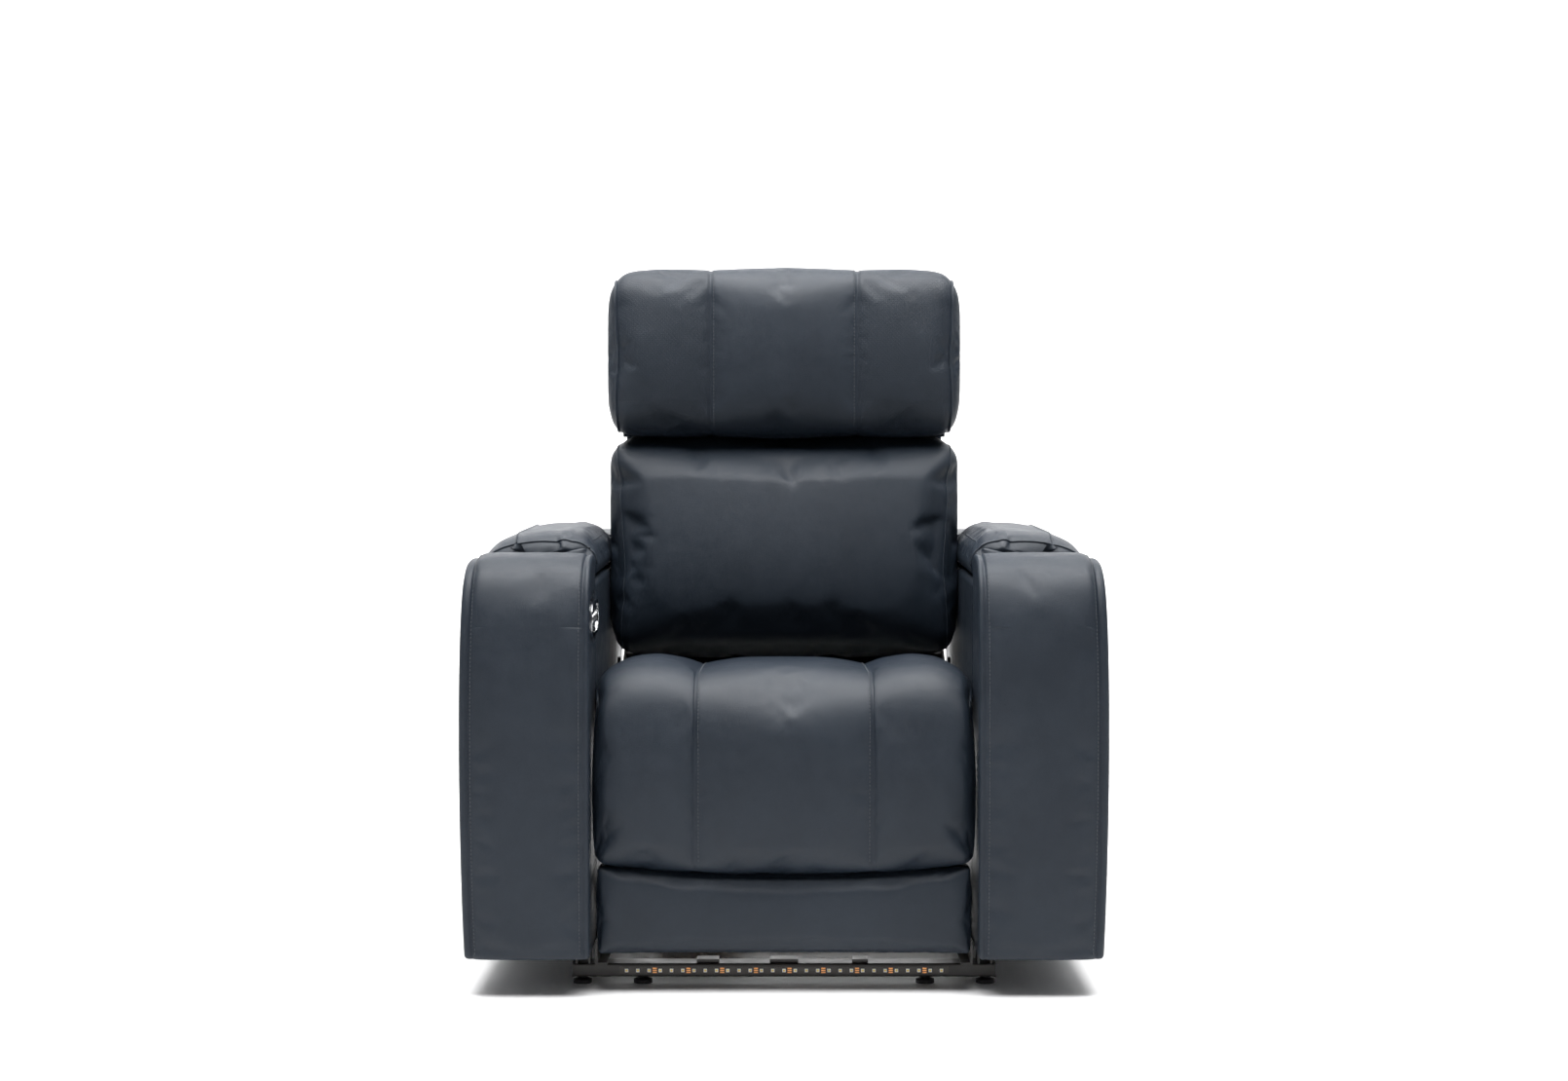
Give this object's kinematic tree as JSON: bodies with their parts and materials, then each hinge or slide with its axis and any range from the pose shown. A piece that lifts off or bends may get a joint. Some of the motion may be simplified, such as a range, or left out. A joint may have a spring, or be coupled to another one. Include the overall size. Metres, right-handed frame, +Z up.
{
  "type": "cinema recliner seat",
  "caption": "Single powered cinema recliner with chaise footrest, tilting headrest, storage arms with hinged lids and an under-seat light strip.",
  "frame": {"origin": "on the floor, in the middle of the chair's width and depth", "axes": "+Z up, +Y towards the rear, +X to the right seen from the front"},
  "size_m": [0.942, 0.88, 1.0834],
  "materials": {
    "leather": "satin, fine grained",
    "steel_black": "satin powder coat",
    "steel_bright": "zinc plated",
    "chrome": "polished",
    "black_plastic": "fine texture",
    "gloss_black": "polished",
    "strip_board": "solder mask",
    "led_white": "clear coated",
    "copper": "bare copper",
    "webbing": "woven",
    "plywood": "raw plywood",
    "nylon": "natural nylon",
    "lining": "felt lined"
  },
  "bodies": {
    "base": {"levelling_feet": "black_plastic", "cross_tubes": "steel_black", "tube_end_caps": "black_plastic", "roller_tracks": "steel_black", "recline_slot_plates": "steel_black", "base_brackets": "steel_black", "recline_rail": "steel_bright", "recline_motor": "black_plastic", "power_supply": "black_plastic", "light_strip_board": "strip_board", "strip_lights": "led_white", "strip_contact_pads": "copper", "arm_box_left": "leather", "arm_box_right": "leather", "arm_front_left": "leather", "arm_front_right": "leather", "storage_tub_left": "lining", "storage_tub_right": "lining", "lid_hinge_leaves": "steel_bright", "control_bezel": "chrome", "control_plate": "gloss_black", "charging_socket": "black_plastic"},
    "lid_left": {"lid_hinge_arm_left": "steel_bright", "lid_board_left": "plywood", "arm_lid_left": "leather"},
    "lid_right": {"lid_hinge_arm_right": "steel_bright", "lid_board_right": "plywood", "arm_lid_right": "leather"},
    "key_recline": {"button_recline": "chrome"},
    "key_upright": {"button_upright": "chrome"},
    "key_head_forward": {"button_head_forward": "chrome"},
    "key_head_back": {"button_head_back": "chrome"},
    "seat": {"seat_side_plates": "steel_black", "seat_rails": "steel_black", "seat_webbing": "webbing", "seat_cushion": "leather", "footrest_rail": "steel_bright", "footrest_motor": "black_plastic", "recline_nut": "nylon"},
    "front_rollers": {"front_rollers": "nylon"},
    "rear_rollers": {"rear_rollers": "nylon"},
    "footrest": {"footrest_pad": "leather", "footrest_panel": "leather", "footrest_board": "plywood", "footrest_brackets": "steel_black"},
    "swing_links": {"swing_links": "steel_black"},
    "driver": {"driver_links": "steel_black", "torque_tube": "steel_black"},
    "upper_links": {"upper_links": "steel_black"},
    "lower_links": {"lower_links": "steel_black"},
    "footrest_nut": {"footrest_nut": "nylon"},
    "back": {"back_frame": "steel_black", "back_hinge_plates": "steel_black", "back_cushion": "leather", "back_shell": "leather", "headrest_guides": "steel_black", "headrest_drive": "steel_bright"},
    "headrest": {"headrest_cushion": "leather", "headrest_board": "plywood"},
    "headrest_nut": {"headrest_nut": "nylon"}
  },
  "joints": [
    {"name": "back_recline", "type": "hinge", "parent": "seat", "child": "back", "pos_m": [0, 0.19, 0.27], "axis": [-1, 0, 0], "range_deg": [0, 35]},
    {"name": "seat_slide", "type": "slide", "parent": "base", "child": "seat", "axis": [0, -1, 0], "range_m": [0, 0.0967]},
    {"name": "footrest_open", "type": "hinge", "parent": "seat", "child": "footrest", "pos_m": [0, -0.387, 0.447], "axis": [-1, 0, 0], "range_deg": [0, 85]},
    {"name": "swing_turn", "type": "hinge", "parent": "seat", "child": "swing_links", "pos_m": [0, -0.212, 0.372], "axis": [-1, 0, 0], "range_deg": [0, 85]},
    {"name": "driver_turn", "type": "hinge", "parent": "seat", "child": "driver", "pos_m": [0, -0.1385, 0.3405], "axis": [-1, 0, 0], "range_deg": [0, 85]},
    {"name": "upper_turn", "type": "hinge", "parent": "swing_links", "child": "upper_links", "pos_m": [0, -0.137, 0.222], "axis": [-1, 0, 0], "range_deg": [-85, 0]},
    {"name": "lower_turn", "type": "hinge", "parent": "swing_links", "child": "lower_links", "pos_m": [0, -0.137, 0.097], "axis": [-1, 0, 0], "range_deg": [-85, 0]},
    {"name": "footrest_nut_slide", "type": "slide", "parent": "seat", "child": "footrest_nut", "axis": [0, -1, 0], "range_m": [0, 0.0816]},
    {"name": "front_roller_spin", "type": "hinge", "parent": "seat", "child": "front_rollers", "pos_m": [0, -0.24, 0.049], "axis": [1, 0, 0], "range_deg": [-5, 407.4]},
    {"name": "rear_roller_spin", "type": "hinge", "parent": "seat", "child": "rear_rollers", "pos_m": [0, 0.15, 0.049], "axis": [1, 0, 0], "range_deg": [-5, 407.4]},
    {"name": "headrest_tilt", "type": "hinge", "parent": "back", "child": "headrest", "pos_m": [0, 0.075, 0.862], "axis": [1, 0, 0], "range_deg": [0, 38]},
    {"name": "headrest_nut_slide", "type": "slide", "parent": "back", "child": "headrest_nut", "axis": [0, 0, 1], "range_m": [0, 0.0982]},
    {"name": "lid_right_open", "type": "hinge", "parent": "base", "child": "lid_right", "pos_m": [0.464, 0, 0.6025], "axis": [0, 1, 0], "range_deg": [0, 95]},
    {"name": "lid_left_open", "type": "hinge", "parent": "base", "child": "lid_left", "pos_m": [-0.464, 0, 0.6025], "axis": [0, -1, 0], "range_deg": [0, 95]},
    {"name": "press_recline", "type": "slide", "parent": "base", "child": "key_recline", "axis": [-1, 0, 0], "range_m": [0, 0.0012], "stiffness_N_per_m": 900, "springref_m": -0.0003},
    {"name": "press_upright", "type": "slide", "parent": "base", "child": "key_upright", "axis": [-1, 0, 0], "range_m": [0, 0.0012], "stiffness_N_per_m": 900, "springref_m": -0.0003},
    {"name": "press_head_forward", "type": "slide", "parent": "base", "child": "key_head_forward", "axis": [-1, 0, 0], "range_m": [0, 0.0012], "stiffness_N_per_m": 900, "springref_m": -0.0003},
    {"name": "press_head_back", "type": "slide", "parent": "base", "child": "key_head_back", "axis": [-1, 0, 0], "range_m": [0, 0.0012], "stiffness_N_per_m": 900, "springref_m": -0.0003}
  ],
  "couplings": [
    {"joint": "seat_slide", "follows": "back_recline", "m_per_rad": 0.15752},
    {"joint": "front_roller_spin", "follows": "back_recline", "ratio": 11.498},
    {"joint": "rear_roller_spin", "follows": "back_recline", "ratio": 11.498},
    {"joint": "swing_turn", "follows": "footrest_open", "ratio": 1},
    {"joint": "driver_turn", "follows": "footrest_open", "ratio": 1},
    {"joint": "upper_turn", "follows": "footrest_open", "ratio": -1},
    {"joint": "lower_turn", "follows": "footrest_open", "ratio": -1},
    {"joint": "footrest_nut_slide", "follows": "footrest_open", "m_per_rad": 0.054647},
    {"joint": "headrest_nut_slide", "follows": "headrest_tilt", "m_per_rad": 0.14727}
  ]
}
